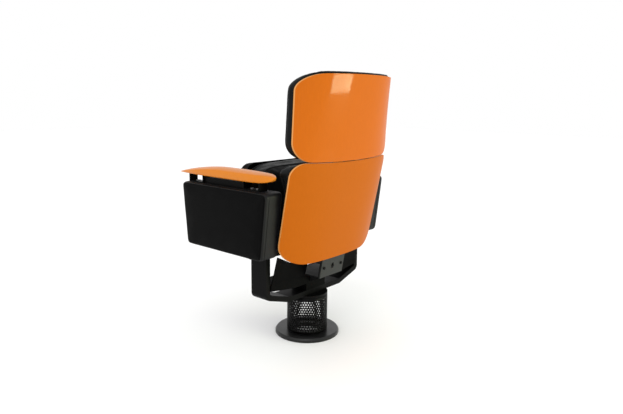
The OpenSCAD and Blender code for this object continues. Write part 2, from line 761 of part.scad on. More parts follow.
module back_cushion(upper, mid_t, foot_t, side_t) {
    rise = upper ? head_rise : 0;
    draw = cushion_draw_share * back_seam_w / 2;
    function low(u) = (upper ? upper_low(u) : lower_low(u)) + (upper ? 0 : draw * (1 - u * u));
    function high(u) = (upper ? upper_high(u) : lower_high(u)) + rise - draw * (1 - u * u);
    function half(z, v) =
        let (wide = back_half(z) + cushion_proud - draw * (1 - pow(2 * v - 1, 2)))
        upper ? wide : mix(arm_in - cushion_arm_gap, wide,
            ease((z - arm_top - cushion_arm_gap) / cushion_widen_h));
    function room(u, z) = pocket_deep
        * (1 - ease((abs(u) - pocket_full_share) / (pocket_end_share - pocket_full_share)))
        * (1 - ease((z - stay_top - pocket_deep) / pocket_fade_h));
    function depth(u, v, z, h) =
        let (side_gap = (1 - abs(u)) * back_half(z), end_gap = min(v, 1 - v) * h)
        mix(mix(foot_t, side_t, v), mid_t, (1 - u * u) * (1 - pow(2 * v - 1, 4) / 4))
            - edge_fall(min(side_gap, end_gap));
    function grid(is_front) = [for (i = [0 : back_columns]) let (u = column_u(i, back_columns))
        [for (j = [0 : cushion_rows])
            let (v = row_v(j, cushion_rows), z = mix(low(u), high(u), v), h = high(u) - low(u),
                x = (upper && i > 0 && i < back_columns ? back_half(z) : half(z, v)) * u)
            [x, back_y(z) - back_wrap(z) * pow(abs(x) / back_half(z), wrap_power) - shell_t
                - cushion_gap - (is_front ? depth(u, v, z, h) : room(u, z)), z]]];
    color([0.075, 0.08, 0.08]) grid_solid(grid(false), grid(true));
}

// Spine: a bracket on the beam, a plate parallel to the back, and a stay to the head shell

back_lean = atan2(back_seam_y - back_bottom_y, seam_z - back_bottom);
head_lean = atan2(back_top_y - back_seam_y, back_top - seam_z);
foot_front_y = yoke_back - beam_depth / 4;
beam_rear_y = yoke_back + beam_depth / 2;

// Rear face of the spine plate at the height z, just inside the lower shell
function spine_y(z) =
    back_bottom_y + (z - back_bottom) * tan(back_lean) - shell_t - fit - spine_set;
spine_set = wrap_bottom * pow(spine_w / back_bottom_w, wrap_power);

// Rear face of the head stay at the height z, in front of the spine plate and the upper shell
function stay_y(z) =
    back_seam_y + (z - seam_z) * tan(head_lean) - shell_t - fit - stay_set;
stay_low = spine_top - flange_up;
stay_set = spine_set + spine_t + fit + (tan(back_lean) - tan(head_lean))
    * (back_lean > head_lean ? seam_z - stay_low : seam_z - spine_top);
stay_w = spine_w / 2;
bracket_top = beam_top + flange_up;
bolt_row_share = 0.62;
bolt_side_share = 0.38;
stay_side_share = 0.3;
spine_screw_shares = [0.48, 0.88];
stay_screw_shares = [0.25, 0.8];

// Lies square to the spine plate or the head stay, with +Z to the rear
module square_to(x, y, z, lean) {
    translate([x, y, z]) rotate([-90 - lean, 0, 0]) children();
}

module spine_bracket() {
    foot_top = beam_top + spine_t;
    color([0.30, 0.30, 0.31]) difference() {
        union() {
            across(-spine_w / 2, spine_w / 2) polygon([
                [foot_front_y, beam_top], [spine_y(beam_top) - spine_t, beam_top],
                [spine_y(bracket_top) - spine_t, bracket_top],
                [spine_y(bracket_top) - 2 * spine_t, bracket_top],
                [spine_y(foot_top) - 2 * spine_t, foot_top], [foot_front_y, foot_top]]);
            both_sides() across(spine_w / 4, spine_w / 4 + spine_t) polygon([
                [beam_rear_y, beam_top], [beam_rear_y, beam_top - rib_h],
                [beam_rear_y + spine_t, beam_top - rib_h], [spine_y(beam_top) - spine_t, beam_top]]);
        }
        spine_bolt_places() plate_hole();
    }
}

// A hole through one or two plates
module plate_hole() {
    cylinder(h = 6 * spine_t, d = screw_d + fit, center = true, $fn = small_fn);
}

// Bolts in the plate's lower end, bolts that hold the stay, and screws into the shells
module spine_bolt_places() {
    z = beam_top + flange_up * bolt_row_share;
    for (x = [-spine_w * bolt_side_share, 0, spine_w * bolt_side_share])
        square_to(x, spine_y(z), z, back_lean) children();
}

module stay_bolt_places() {
    z = (stay_low + spine_top) / 2;
    for (x = [-stay_w * stay_side_share, stay_w * stay_side_share])
        square_to(x, spine_y(z), z, back_lean) children();
}

module spine_screw_places() {
    for (share = spine_screw_shares) for (x = [-spine_w * bolt_side_share, spine_w * bolt_side_share])
        square_to(x, spine_y(mix(beam_top, spine_top, share)), mix(beam_top, spine_top, share),
            back_lean) children();
}

module stay_screw_places() {
    for (share = stay_screw_shares) for (x = [-stay_w * stay_side_share, stay_w * stay_side_share])
        square_to(x, stay_y(mix(seam_z, stay_top, share)), mix(seam_z, stay_top, share),
            head_lean) children();
}

module spine_plate() {
    color([0.36, 0.36, 0.365]) difference() {
        across(-spine_w / 2, spine_w / 2) polygon([
            [spine_y(beam_top) - spine_t, beam_top], [spine_y(beam_top), beam_top],
            [spine_y(spine_top), spine_top], [spine_y(spine_top) - spine_t, spine_top]]);
        spine_bolt_places() plate_hole();
        stay_bolt_places() plate_hole();
        spine_screw_places() plate_hole();
        square_to(0, spine_y(beam_top + flange_up * bolt_row_share),
            beam_top + flange_up * bolt_row_share, back_lean)
            translate([-slot_w / 2, -slot_len / 2, -2 * spine_t]) cube([slot_w, slot_len, 4 * spine_t]);
    }
}

module spine_bolts() {
    color([0.20, 0.20, 0.20]) spine_bolt_places() {
        translate([0, 0, -2 * spine_t - fit])
            cylinder(h = 2 * spine_t + 2 * fit, d = screw_d, $fn = small_fn);
        translate([0, 0, fit]) cylinder(h = screw_head_h, d = screw_head_d, $fn = small_fn);
    }
}

module head_stay() {
    color([0.30, 0.30, 0.31]) difference() {
        across(-stay_w / 2, stay_w / 2) polygon([
            [stay_y(stay_low) - spine_t, stay_low], [stay_y(stay_low), stay_low],
            [stay_y(stay_top), stay_top], [stay_y(stay_top) - spine_t, stay_top]]);
        stay_bolt_places() plate_hole();
        stay_screw_places() plate_hole();
    }
}

module stay_bolts() {
    z = (stay_low + spine_top) / 2;
    stack = (spine_y(z) - stay_y(z) + spine_t) * cos(back_lean);
    color([0.20, 0.20, 0.20]) stay_bolt_places() {
        translate([0, 0, -stack - fit]) cylinder(h = stack, d = screw_d, $fn = small_fn);
        translate([0, 0, -stack - screw_head_h - fit])
            cylinder(h = screw_head_h, d = screw_head_d, $fn = small_fn);
    }
}

// Screws into a shell that lies the distance gap behind a plate
module shell_screw(gap) {
    translate([0, 0, -spine_t - fit])
        cylinder(h = spine_t + gap + shell_screw_deep, d = screw_d, $fn = small_fn);
    translate([0, 0, -spine_t - screw_head_h - fit])
        cylinder(h = screw_head_h, d = screw_head_d, $fn = small_fn);
}

module shell_screws() {
    color([0.30, 0.30, 0.31]) {
        spine_screw_places() shell_screw(spine_set + fit);
        stay_screw_places() {
            shell_screw(stay_set + fit);
            translate([0, 0, fit]) cylinder(h = stay_set - 2 * fit, d = spacer_d, $fn = small_fn);
        }
    }
}

// Hinge, given on the sitter's left side

lug_in = upright_in - seat_clear;
lug_out = lug_in + lug_t;
plate_in = upright_in - hinge_plate_t;
spring_w = plate_in - lug_out - 2 * play;
plate_front = 34;
plate_rear = 60;
plate_up = 34;
plate_down = 45;
// Angle of the stop pins round the hinge, and the free angle beyond the stops
stop_angle = 270;
stop_free = asin(play / stop_r);
seat_rest = seat_turn_angle + seat_slope;

// Puts a piece of the seat, drawn level about the hinge, in its tipped-up place
module seat_place() {
    translate(hinge) rotate([-seat_rest, 0, 0]) children();
}

module stop_pin_place() {
    translate([0, hinge[1] + stop_r * cos(stop_angle), hinge[2] + stop_r * sin(stop_angle)]) children();
}

module hinge_brackets() {
    color([0.10, 0.10, 0.10]) both_sides() difference() {
        translate([plate_in, hinge[1] - plate_front, hinge[2] - plate_down])
            cube([hinge_plate_t, plate_front + plate_rear, plate_down + plate_up]);
        round_bar(plate_in - over, upright_in + over, [hinge[1], hinge[2]], pin_d + 2 * snug);
        stop_pin_place() round_bar(plate_in - over, upright_in + over, [0, 0], stop_d + 2 * snug,
            $fn = small_fn);
    }
}

module hinge_pins() {
    color([0.55, 0.55, 0.56]) both_sides()
        round_bar(lug_in + fit, upright_in, [hinge[1], hinge[2]], pin_d);
}

module stop_pins() {
    color([0.55, 0.55, 0.56]) both_sides() stop_pin_place()
        round_bar(lug_in + fit, upright_in, [0, 0], stop_d, $fn = small_fn);
}

module return_springs() {
    color([0.40, 0.40, 0.41]) both_sides() difference() {
        round_bar(plate_in - spring_w, plate_in, [hinge[1], hinge[2]], spring_od);
        round_bar(plate_in - spring_w - over, plate_in + over, [hinge[1], hinge[2]],
            pin_d + 2 * snug);
    }
}

// Places of the lugs' screws in the seat pan, as shares of the seat's reach
lug_screw_shares = [0.10, 0.28];
pan_low = seat_over_hinge - seat_cushion_t - pan_h;

module lug_screw_places() {
    for (share = lug_screw_shares) translate([0, -seat_reach * share, pan_low + pan_h / 2]) children();
}

module hinge_lugs() {
    foot = pan_low + pan_wall;
    toe = -seat_reach * lug_len_share;
    color([0.14, 0.14, 0.14]) both_sides() seat_place() difference() {
        across(lug_in, lug_out) polygon(concat(arc_points([0, 0], lug_r, 0, 180, 36), [
            [-lug_r, pan_low + pan_h], [toe, pan_low + pan_h], [toe, foot], [lug_r, foot]]));
        round_bar(lug_in - over, lug_out + over, [0, 0], pin_d + 2 * bush_wall + 2 * snug);
        lug_screw_places() round_bar(lug_in - over, lug_out + over, [0, 0], screw_d + fit,
            $fn = small_fn);
        stop_slot();
    }
}

// Curved slot that turns past the stop pin, with round ends
module stop_slot() {
    low = stop_angle + seat_slope - stop_free;
    high = stop_angle + seat_rest + stop_free;
    half = stop_d / 2 + play;
    across(lug_in - over, lug_out + over) polygon(concat(
        arc_points([0, 0], stop_r + half, low, high, 24),
        cap_points(high, half, high), arc_points([0, 0], stop_r - half, high, low, 24),
        cap_points(low, half, low + 180)));
}

// The round end of the slot at the angle a, without its first and last points
function cap_points(a, half, from) =
    let (all = arc_points(stop_r * [cos(a), sin(a)], half, from, from + 180, 8))
    [for (i = [1 : len(all) - 2]) all[i]];

module hinge_bushes() {
    color([0.85, 0.85, 0.82]) both_sides() seat_place() difference() {
        round_bar(lug_in, lug_out, [0, 0], pin_d + 2 * bush_wall);
        round_bar(lug_in - over, lug_out + over, [0, 0], pin_d + 2 * pin_play);
    }
}

module lug_screws() {
    color([0.30, 0.30, 0.31]) both_sides() seat_place() lug_screw_places() {
        round_bar(lug_out + fit, lug_out + fit + screw_head_h, [0, 0], screw_head_d, $fn = small_fn);
        round_bar(lug_in - pan_wall, lug_out + 2 * fit, [0, 0], screw_d, $fn = small_fn);
    }
}

// Seat, drawn level about the hinge

seat_mid_y = (seat_tail - seat_reach) / 2;
seat_half_len = (seat_tail + seat_reach) / 2;
pan_front_r = 58;
pan_rear_r = 30;

// Outline of the pan as [x, y], moved inwards by d
function pan_outline(d) = round_path([
    [-lug_in + d, -seat_reach + d], [lug_in - d, -seat_reach + d],
    [lug_in - d, seat_tail - d], [-lug_in + d, seat_tail - d]],
    [pan_front_r - d, pan_front_r - d, pan_rear_r - d, pan_rear_r - d]);

module seat_pan() {
    color([0.06, 0.06, 0.06]) seat_place() difference() {
        translate([0, 0, pan_low]) linear_extrude(pan_h) polygon(pan_outline(0));
        translate([0, 0, pan_low + pan_wall]) linear_extrude(pan_h) polygon(pan_outline(pan_wall));
        both_sides() lug_screw_places() round_bar(lug_in - pan_wall - over, lug_in + over, [0, 0],
            screw_d + fit, $fn = small_fn);
    }
}

seat_ring_points = 44;
seat_edge_r = 20;
seat_square_power = 0.26;
seat_bow_power = 3.3;
seat_draw_share = 0.02;
seat_crown_shares = [0.12, 0.3, 0.5, 0.7, 0.88];
seat_side_gap = 1.5;

// One ring of the seat cushion at the height z, moved inwards by d, its sides drawn in
function seat_ring(d, z, draw = seat_draw_share) =
    [for (i = [0 : seat_ring_points - 1])
        let (a = 360 * i / seat_ring_points,
            x = sign(cos(a)) * pow(abs(cos(a)), seat_square_power),
            y = sign(sin(a)) * pow(abs(sin(a)), seat_square_power))
        [x * (lug_in - seat_side_gap - d) * (1 - draw * (1 - y * y)),
            seat_mid_y + y * (seat_half_len - d) * (1 - draw * (1 - x * x))
                + (y < 0 ? seat_bow * pow(abs(x), seat_bow_power) * y * y : 0), z]];

module seat_cushion() {
    low = pan_low + pan_h + fit;
    high = seat_over_hinge - seat_crown;
    steps = 4;
    color([0.075, 0.08, 0.08]) seat_place() ring_solid(concat(
        [seat_ring(fit, low, 0), seat_ring(0, low + seat_edge_r / 2),
            seat_ring(seat_side_gap, (low + high - seat_edge_r) / 2)],
        [for (i = [0 : steps]) let (a = 90 * i / steps)
            seat_ring(seat_edge_r * (1 - cos(a)), high - seat_edge_r * (1 - sin(a)))],
        [for (share = seat_crown_shares) seat_ring(mix(seat_edge_r, seat_half_len, share),
            high + seat_crown * (1 - pow(1 - share, 2)))]));
}

// Pieces drawn

base_flange();
pedestal_tube();
top_plate();
yoke();
yoke_bolts();
neck_block();
seat_beam();
rear_panels();
panel_screws();
arm_core();  // arm_core_left
as_right() arm_core();  // arm_core_right
arm_cover();  // arm_cover_left
as_right() arm_cover();  // arm_cover_right
arm_bolts();
pad_brackets();  // pad_brackets_left
as_right() pad_brackets();  // pad_brackets_right
pad_screws();
arm_pad();  // arm_pad_left
as_right() arm_pad();  // arm_pad_right
spine_bracket();
spine_plate();
spine_bolts();
head_stay();
stay_bolts();
shell(false);  // lower_shell
shell(true);  // upper_shell
shell_screws();
back_cushion(false, lower_cushion_t, lower_foot_t, lower_side_t);  // lower_cushion
back_cushion(true, head_cushion_t, head_side_t, head_side_t);  // head_cushion
hinge_brackets();
hinge_pins();
stop_pins();
return_springs();
hinge_lugs();
hinge_bushes();
lug_screws();
seat_pan();
seat_cushion();
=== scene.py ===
"""The auditorium chair's looks round its CAD frame: materials, soft pieces, light and camera."""
import math

import bmesh
import bpy
import numpy as np
from mathutils import Matrix, Vector
from mathutils.bvhtree import BVHTree


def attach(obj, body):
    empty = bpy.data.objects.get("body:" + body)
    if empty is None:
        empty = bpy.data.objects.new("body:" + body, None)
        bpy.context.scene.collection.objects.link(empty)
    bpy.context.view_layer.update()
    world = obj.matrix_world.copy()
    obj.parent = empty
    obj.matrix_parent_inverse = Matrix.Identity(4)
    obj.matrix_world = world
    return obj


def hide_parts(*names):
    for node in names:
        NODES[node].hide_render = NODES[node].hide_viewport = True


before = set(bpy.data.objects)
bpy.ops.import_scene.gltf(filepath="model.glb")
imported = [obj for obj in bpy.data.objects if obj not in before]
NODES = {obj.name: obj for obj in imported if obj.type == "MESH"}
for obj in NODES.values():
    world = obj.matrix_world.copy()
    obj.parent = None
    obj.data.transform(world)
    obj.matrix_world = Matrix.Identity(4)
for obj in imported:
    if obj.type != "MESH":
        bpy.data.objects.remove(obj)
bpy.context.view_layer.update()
MM = 0.001
SIDES = ((1, "left"), (-1, "right"))

# Sizes that the part's source gives, in metres. A triple is at the foot, the seam and the top.
BACK_BOTTOM, SEAM, BACK_TOP = 0.332, 0.693, 0.986
BACK_Y = (0.143, 0.212, 0.264)
BACK_HALF = (0.269, 0.270, 0.263)
WRAP = (0.054, 0.050, 0.091)
SHELL_T = 0.011
SEAM_GAP = 0.003
FOOT_SAG, SEAM_SAG, TOP_SAG = 0.003, 0.008, 0.005
# Share of the shell's half width that a corner takes, and the corner's height
LOWER_FOOT_CORNER, LOWER_TOP_CORNER = (0.44, 0.083), (0.20, 0.049)
UPPER_FOOT_CORNER, UPPER_TOP_CORNER = (0.26, 0.065), (0.32, 0.052)
HINGE = Vector((0, -0.030, 0.385))
SEAT_REST = math.radians(83)
SEAT_HALF, SEAT_HALF_LENGTH, SEAT_MID = 0.2295, 0.179, -0.117
SEAT_RING_POWER, SEAT_BOW, SEAT_BOW_POWER = 0.26, 0.016, 3.3
ARM_IN, ARM_OUT, ARM_MID = 0.256, 0.341, 0.2985
ARM_OUTLINE = [(-0.306, 0.368), (0.085, 0.368), (0.113, 0.600), (-0.327, 0.600)]
PAD_FRONT, PAD_LEN, PAD_HALF = -0.381, 0.499, 0.040
PAD_UNDER, PAD_SIDE, PAD_CROWN, PAD_RISE = 0.630, 0.027, 0.009, 0.020
PAD_WIDE_POWERS, PAD_EDGE_POWERS, PAD_OVER_POWER = (2.4, 7), (1.5, 14), 3
TUBE_R = 0.079
TUBE_T = 0.0025
TUBE_FOOT, TUBE_BAND, TUBE_TOP = 0.015, 0.150, 0.160


def mix(a, b, t):
    return a + (b - a) * t


def ease(t):
    t = min(1.0, max(0.0, t))
    return t * t * (3 - 2 * t)


# Materials


def new_material(name):
    m = bpy.data.materials.new(name)
    m.use_nodes = True
    tree = m.node_tree
    tree.nodes.clear()
    out = tree.nodes.new("ShaderNodeOutputMaterial")
    shader = tree.nodes.new("ShaderNodeBsdfPrincipled")
    tree.links.new(shader.outputs[0], out.inputs[0])
    return m, tree, shader


def place(tree, scale=(1, 1, 1)):
    where = tree.nodes.new("ShaderNodeTexCoord")
    mapping = tree.nodes.new("ShaderNodeMapping")
    mapping.inputs["Scale"].default_value = scale
    tree.links.new(where.outputs["Object"], mapping.inputs["Vector"])
    return mapping.outputs["Vector"]


def noise(tree, where, scale, detail=3.0, rough=0.5):
    n = tree.nodes.new("ShaderNodeTexNoise")
    n.inputs["Scale"].default_value = scale
    n.inputs["Detail"].default_value = detail
    n.inputs["Roughness"].default_value = rough
    tree.links.new(where, n.inputs["Vector"])
    return n.outputs["Fac"]


def grey(v):
    return (v, v, v)


def shade(c, k):
    return tuple(x * k for x in c)


def ramp(tree, fac, stops):
    r = tree.nodes.new("ShaderNodeValToRGB")
    els = r.color_ramp.elements
    while len(els) < len(stops):
        els.new(0.5)
    for e, (at, colour) in zip(els, stops):
        e.position = at
        e.color = (*colour, 1)
    tree.links.new(fac, r.inputs["Fac"])
    return r.outputs["Color"]


def grey_ramp(tree, fac, low, high, ends=(0.3, 0.7)):
    return ramp(tree, fac, [(ends[0], grey(low)), (ends[1], grey(high))])


def tone_ramp(tree, fac, colour, low, high, ends=(0.3, 0.7)):
    return ramp(tree, fac, [(ends[0], shade(colour, low)), (ends[1], shade(colour, high))])


def bump(tree, height, strength, distance, before=None):
    b = tree.nodes.new("ShaderNodeBump")
    b.inputs["Strength"].default_value = strength
    b.inputs["Distance"].default_value = distance
    tree.links.new(height, b.inputs["Height"])
    if before is not None:
        tree.links.new(before, b.inputs["Normal"])
    return b.outputs["Normal"]


# The mix node's sockets for colours
MIX_A, MIX_B, MIX_RESULT = 6, 7, 2


def lacquer(name, colour, rough=0.34, coat=0.16):
    """Tinted lacquer over veneer, with upright grain, a cloudy tone and a thin clear coat."""
    m, tree, s = new_material(name)
    grain = noise(tree, place(tree, scale=(9, 9, 1.6)), scale=22, detail=5, rough=0.6)
    cloud = noise(tree, place(tree), scale=3.2, detail=2)
    fine = noise(tree, place(tree), scale=900, detail=2)
    tone = tree.nodes.new("ShaderNodeMix")
    tone.data_type = "RGBA"
    tree.links.new(cloud, tone.inputs[0])
    tree.links.new(tone_ramp(tree, grain, colour, 0.95, 1.0, ends=(0.30, 0.72)),
                   tone.inputs[MIX_A])
    tree.links.new(tone_ramp(tree, grain, colour, 1.0, 1.07, ends=(0.30, 0.75)),
                   tone.inputs[MIX_B])
    tree.links.new(tone.outputs[MIX_RESULT], s.inputs["Base Color"])
    tree.links.new(grey_ramp(tree, cloud, rough - 0.03, rough + 0.05), s.inputs["Roughness"])
    s.inputs["Coat Weight"].default_value = coat
    s.inputs["Coat Roughness"].default_value = 0.06
    s.inputs["Coat IOR"].default_value = 1.42
    s.inputs["Specular IOR Level"].default_value = 0.03
    under = bump(tree, fine, strength=0.05, distance=0.0002)
    tree.links.new(bump(tree, grain, strength=0.10, distance=0.0006, before=under),
                   s.inputs["Normal"])
    return m


def leather(name, colour=(0.0040, 0.0046, 0.0046), rough=0.42, pore_scale=420, gloss=0.10):
    """Black leather: pores of cracked cells, pulled about by a noise, and wider creases."""
    m, tree, s = new_material(name)
    where = place(tree)
    cells = tree.nodes.new("ShaderNodeTexVoronoi")
    cells.feature = "DISTANCE_TO_EDGE"
    cells.inputs["Scale"].default_value = pore_scale
    wobble = tree.nodes.new("ShaderNodeVectorMath")
    wobble.operation = "MULTIPLY_ADD"
    warp = tree.nodes.new("ShaderNodeTexNoise")
    warp.inputs["Scale"].default_value = 160
    tree.links.new(where, warp.inputs["Vector"])
    tree.links.new(warp.outputs["Color"], wobble.inputs[0])
    wobble.inputs[1].default_value = grey(0.004)
    tree.links.new(where, wobble.inputs[2])
    tree.links.new(wobble.outputs[0], cells.inputs["Vector"])
    pores = ramp(tree, cells.outputs["Distance"],
                 [(0.0, grey(0)), (0.16, grey(0.8)), (0.5, grey(1))])
    creases = noise(tree, where, scale=34, detail=4, rough=0.62)
    tree.links.new(tone_ramp(tree, creases, colour, 0.75, 1.35, ends=(0.34, 0.68)),
                   s.inputs["Base Color"])
    tree.links.new(grey_ramp(tree, creases, rough - 0.06, rough + 0.10), s.inputs["Roughness"])
    s.inputs["Specular IOR Level"].default_value = gloss
    under = bump(tree, pores, strength=0.30, distance=0.0004)
    tree.links.new(bump(tree, creases, strength=0.22, distance=0.0016, before=under),
                   s.inputs["Normal"])
    return m


def coat_steel(name, colour, rough=0.42, metallic=0.0, peel=0.10, gloss=0.25):
    """Powder coat or bare steel, with a fine peel and a cloudy tone."""
    m, tree, s = new_material(name)
    where = place(tree)
    fine = noise(tree, where, scale=620)
    wide = noise(tree, where, scale=14)
    tree.links.new(tone_ramp(tree, wide, colour, 0.85, 1.18), s.inputs["Base Color"])
    tree.links.new(grey_ramp(tree, wide, rough - 0.05, rough + 0.07), s.inputs["Roughness"])
    s.inputs["Metallic"].default_value = metallic
    s.inputs["Specular IOR Level"].default_value = gloss
    tree.links.new(bump(tree, fine, peel, distance=0.0003), s.inputs["Normal"])
    return m


def plywood(name, colour):
    m, tree, s = new_material(name)
    layers = noise(tree, place(tree, scale=(60, 2, 2)), scale=6, detail=4)
    tree.links.new(tone_ramp(tree, layers, colour, 0.7, 1.15), s.inputs["Base Color"])
    s.inputs["Roughness"].default_value = 0.6
    tree.links.new(bump(tree, layers, strength=0.3, distance=0.0005), s.inputs["Normal"])
    return m


MAT = {
    "upper": lacquer("lacquer_upper", (0.496, 0.111, 0.004)),
    # The lower shell's lacquer is the upper's orange made darker, as painted shade on the same
    # veneer
    "lower": lacquer("lacquer_lower_painted_shade", (0.430, 0.101, 0.0045), rough=0.40, coat=0.04),
    "pad": lacquer("lacquer_pad", (0.63, 0.192, 0.011), rough=0.36, coat=0.45),
    "edge": lacquer("lacquer_edge", (0.66, 0.29, 0.085), rough=0.45),
    "back_leather": leather("leather_back"),
    "seat_leather": leather("leather_seat"),
    "arm_leather": leather("leather_arm", grey(0.0016), rough=0.46, pore_scale=520, gloss=0.035),
    # The boxing strip's leather is the arm leather made paler: painted light on the box's top and
    # rear faces
    "strip_leather_painted_light": leather("leather_strip_painted_light", (0.0044, 0.0044, 0.0052), pore_scale=520,
                             gloss=0.17),
    "welt": leather("leather_welt", grey(0.0050), rough=0.38, pore_scale=700, gloss=0.14),
    "flange": coat_steel("coat_flange", (0.0035, 0.0035, 0.0036), rough=0.30, gloss=0.34),
    "tube": coat_steel("coat_tube", grey(0.0022), rough=0.38, gloss=0.07),
    "bar": coat_steel("coat_bar", grey(0.0022), gloss=0.055),
    "dark": coat_steel("coat_dark", grey(0.0014), rough=0.55, gloss=0.03),
    "spine": coat_steel("coat_spine", (0.018, 0.019, 0.0175), rough=0.40, metallic=0.1,
                        peel=0.16),
    "rib": coat_steel("coat_rib", grey(0.006), metallic=0.1, peel=0.08),
    "stay": coat_steel("steel_stay", (0.22, 0.22, 0.225), rough=0.36, metallic=0.8),
    "bolt": coat_steel("steel_bolt", (0.33, 0.33, 0.34), rough=0.32, metallic=0.9),
    "pin": coat_steel("steel_pin", (0.52, 0.52, 0.53), rough=0.22, metallic=1.0, peel=0.04),
    "bush": coat_steel("plastic_bush", (0.60, 0.60, 0.56), rough=0.5),
    "plywood": plywood("plywood_core", (0.50, 0.30, 0.13)),
}

# The CAD nodes that keep their own mesh, by material
MATERIAL_NODES = {
    "flange": ("base_flange",),
    "tube": ("top_plate",),
    "bar": ("yoke", "pad_brackets_left", "pad_brackets_right", "spine_bolts", "hinge_brackets",
            "hinge_lugs"),
    "dark": ("neck_block", "seat_beam", "rear_panels", "panel_screws", "seat_pan"),
    "spine": ("spine_plate",),
    "rib": ("spine_bracket",),
    "stay": ("head_stay", "return_springs"),
    "bolt": ("yoke_bolts", "arm_bolts", "pad_screws", "stay_bolts", "shell_screws", "lug_screws"),
    "pin": ("hinge_pins", "stop_pins"),
    "bush": ("hinge_bushes",),
    "plywood": ("arm_core_left", "arm_core_right"),
}
# Widths of their rounded edges, in millimetres
BEVELS = {
    "base_flange": 1.6, "yoke": 2.2, "seat_beam": 2.5, "neck_block": 2.5, "seat_pan": 2.0,
    "pad_brackets_left": 0.7, "pad_brackets_right": 0.7, "spine_plate": 0.8,
    "spine_bracket": 0.8, "rear_panels": 0.8, "hinge_lugs": 0.8, "hinge_brackets": 0.8,
    "top_plate": 0.8,
}
BEVEL_ANGLE, RIM_BEVEL, RIM_BEVEL_ANGLE = 35, 1.5, 50


def set_material(obj, key):
    obj.data.materials.clear()
    obj.data.materials.append(MAT[key])


def even_normals(obj):
    w = obj.modifiers.new("normals", "WEIGHTED_NORMAL")
    w.keep_sharp = True


def add_bevel(obj, width, angle):
    b = obj.modifiers.new("edges", "BEVEL")
    b.width = width
    b.segments = 3
    b.limit_method = "ANGLE"
    b.angle_limit = math.radians(angle)
    b.harden_normals = False
    even_normals(obj)


for key, names in MATERIAL_NODES.items():
    for node in names:
        set_material(NODES[node], key)
        if node in BEVELS:
            add_bevel(NODES[node], BEVELS[node] * MM, BEVEL_ANGLE)


# Mesh helpers


def weld(me, distance):
    bm = bmesh.new()
    bm.from_mesh(me)
    bmesh.ops.remove_doubles(bm, verts=bm.verts, dist=distance)
    bmesh.ops.recalc_face_normals(bm, faces=bm.faces)
    bm.to_mesh(me)
    bm.free()


def smooth_shading(me):
    for p in me.polygons:
        p.use_smooth = True


def linked(name, me):
    obj = bpy.data.objects.new(name, me)
    bpy.context.scene.collection.objects.link(obj)
    return obj


def mesh_object(name, verts, faces, key):
    me = bpy.data.meshes.new(name)
    me.from_pydata([tuple(v) for v in verts], [], faces)
    me.validate()
    weld(me, 1e-6)
    smooth_shading(me)
    obj = linked(name, me)
    set_material(obj, key)
    return obj


def grid_faces(n, m):
    faces = []
    for i in range(n - 1):
        for j in range(m - 1):
            a, b = i * m + j, (i + 1) * m + j
            faces.append((a, b, b + 1, a + 1))
    return faces


def loft_faces(rings, n):
    """Faces between rings of n points each, with both ends closed."""
    faces = []
    for i in range(rings - 1):
        for k in range(n):
            a, b = i * n + k, i * n + (k + 1) % n
            faces.append((a, b, b + n, a + n))
    last = (rings - 1) * n
    return faces + [tuple(range(n))[::-1], tuple(last + k for k in range(n))]


def coords(me):
    co = np.zeros(len(me.vertices) * 3)
    me.vertices.foreach_get("co", co)
    return co.reshape(-1, 3)


def set_coords(me, co):
    me.vertices.foreach_set("co", co.ravel())
    me.update()


def vertex_normals(me):
    no = np.zeros(len(me.vertices) * 3)
    me.vertices.foreach_get("normal", no)
    return no.reshape(-1, 3)


def baked(obj):
    """Replaces obj's mesh by what its modifiers make of it."""
    deps = bpy.context.evaluated_depsgraph_get()
    me = bpy.data.meshes.new_from_object(obj.evaluated_get(deps))
    obj.modifiers.clear()
    obj.data = me


def smoothed(obj, iterations):
    s = obj.modifiers.new("smooth", "SMOOTH")
    s.factor = 0.5
    s.iterations = iterations
    baked(obj)


def tree_of(obj):
    bm = bmesh.new()
    bm.from_mesh(obj.data)
    tree = BVHTree.FromBMesh(bm)
    bm.free()
    return tree


ROPE_SIDES = 8
ROPE_START = Vector((0.31, 0.27, 0.91)).normalized()
SEAM_PASSES = 4


def closed_rope(name, points, radius, key):
    """A round welt along a closed line of points."""
    n = len(points)
    verts, faces = [], []
    other = ROPE_START
    for i in range(n):
        along = (points[(i + 1) % n] - points[i - 1]).normalized()
        side = along.cross(other).normalized()
        other = side.cross(along).normalized()
        for k in range(ROPE_SIDES):
            c = 2 * math.pi * k / ROPE_SIDES
            verts.append(points[i] + radius * (math.cos(c) * side + math.sin(c) * other))
    for i in range(n):
        for k in range(ROPE_SIDES):
            here, there = i * ROPE_SIDES, ((i + 1) % n) * ROPE_SIDES
            step = (k + 1) % ROPE_SIDES
            faces.append((here + k, here + step, there + step, there + k))
    return mesh_object(name, verts, faces, key)


def seam_on(name, obj, points, radius, lift):
    """A welt along points, laid on the surface of obj and evened out."""
    tree = tree_of(obj)
    path = []
    for p in points:
        hit, normal, _, _ = tree.find_nearest(Vector(p))
        path.append(hit + normal * lift)
    n = len(path)
    for _ in range(SEAM_PASSES):
        path = [(path[i - 1] + 2 * path[i] + path[(i + 1) % n]) / 4 for i in range(n)]
    return closed_rope(name, path, radius, "welt")


# Back: the same curved surface as the source's shells


def back_value(z, values):
    if z > SEAM:
        return mix(values[1], values[2], (z - SEAM) / (BACK_TOP - SEAM))
    return mix(values[0], values[1], (z - BACK_BOTTOM) / (SEAM - BACK_BOTTOM))


def back_point(z, d, x):
    """The point at x and z that lies d in front of the shells' rear surface."""
    turn = back_value(z, WRAP) * abs(x / back_value(z, BACK_HALF)) ** 3
    return Vector((x, back_value(z, BACK_Y) - turn - d, z))


def corner_turn(u, corner):
    """How far a rounded corner moves the shell's edge at the share u of the half width."""
    share, height = corner
    if abs(u) <= 1 - share:
        return 0.0
    return height * (1 - math.sqrt(max(0.0, 1 - ((abs(u) - 1 + share) / share) ** 2)))


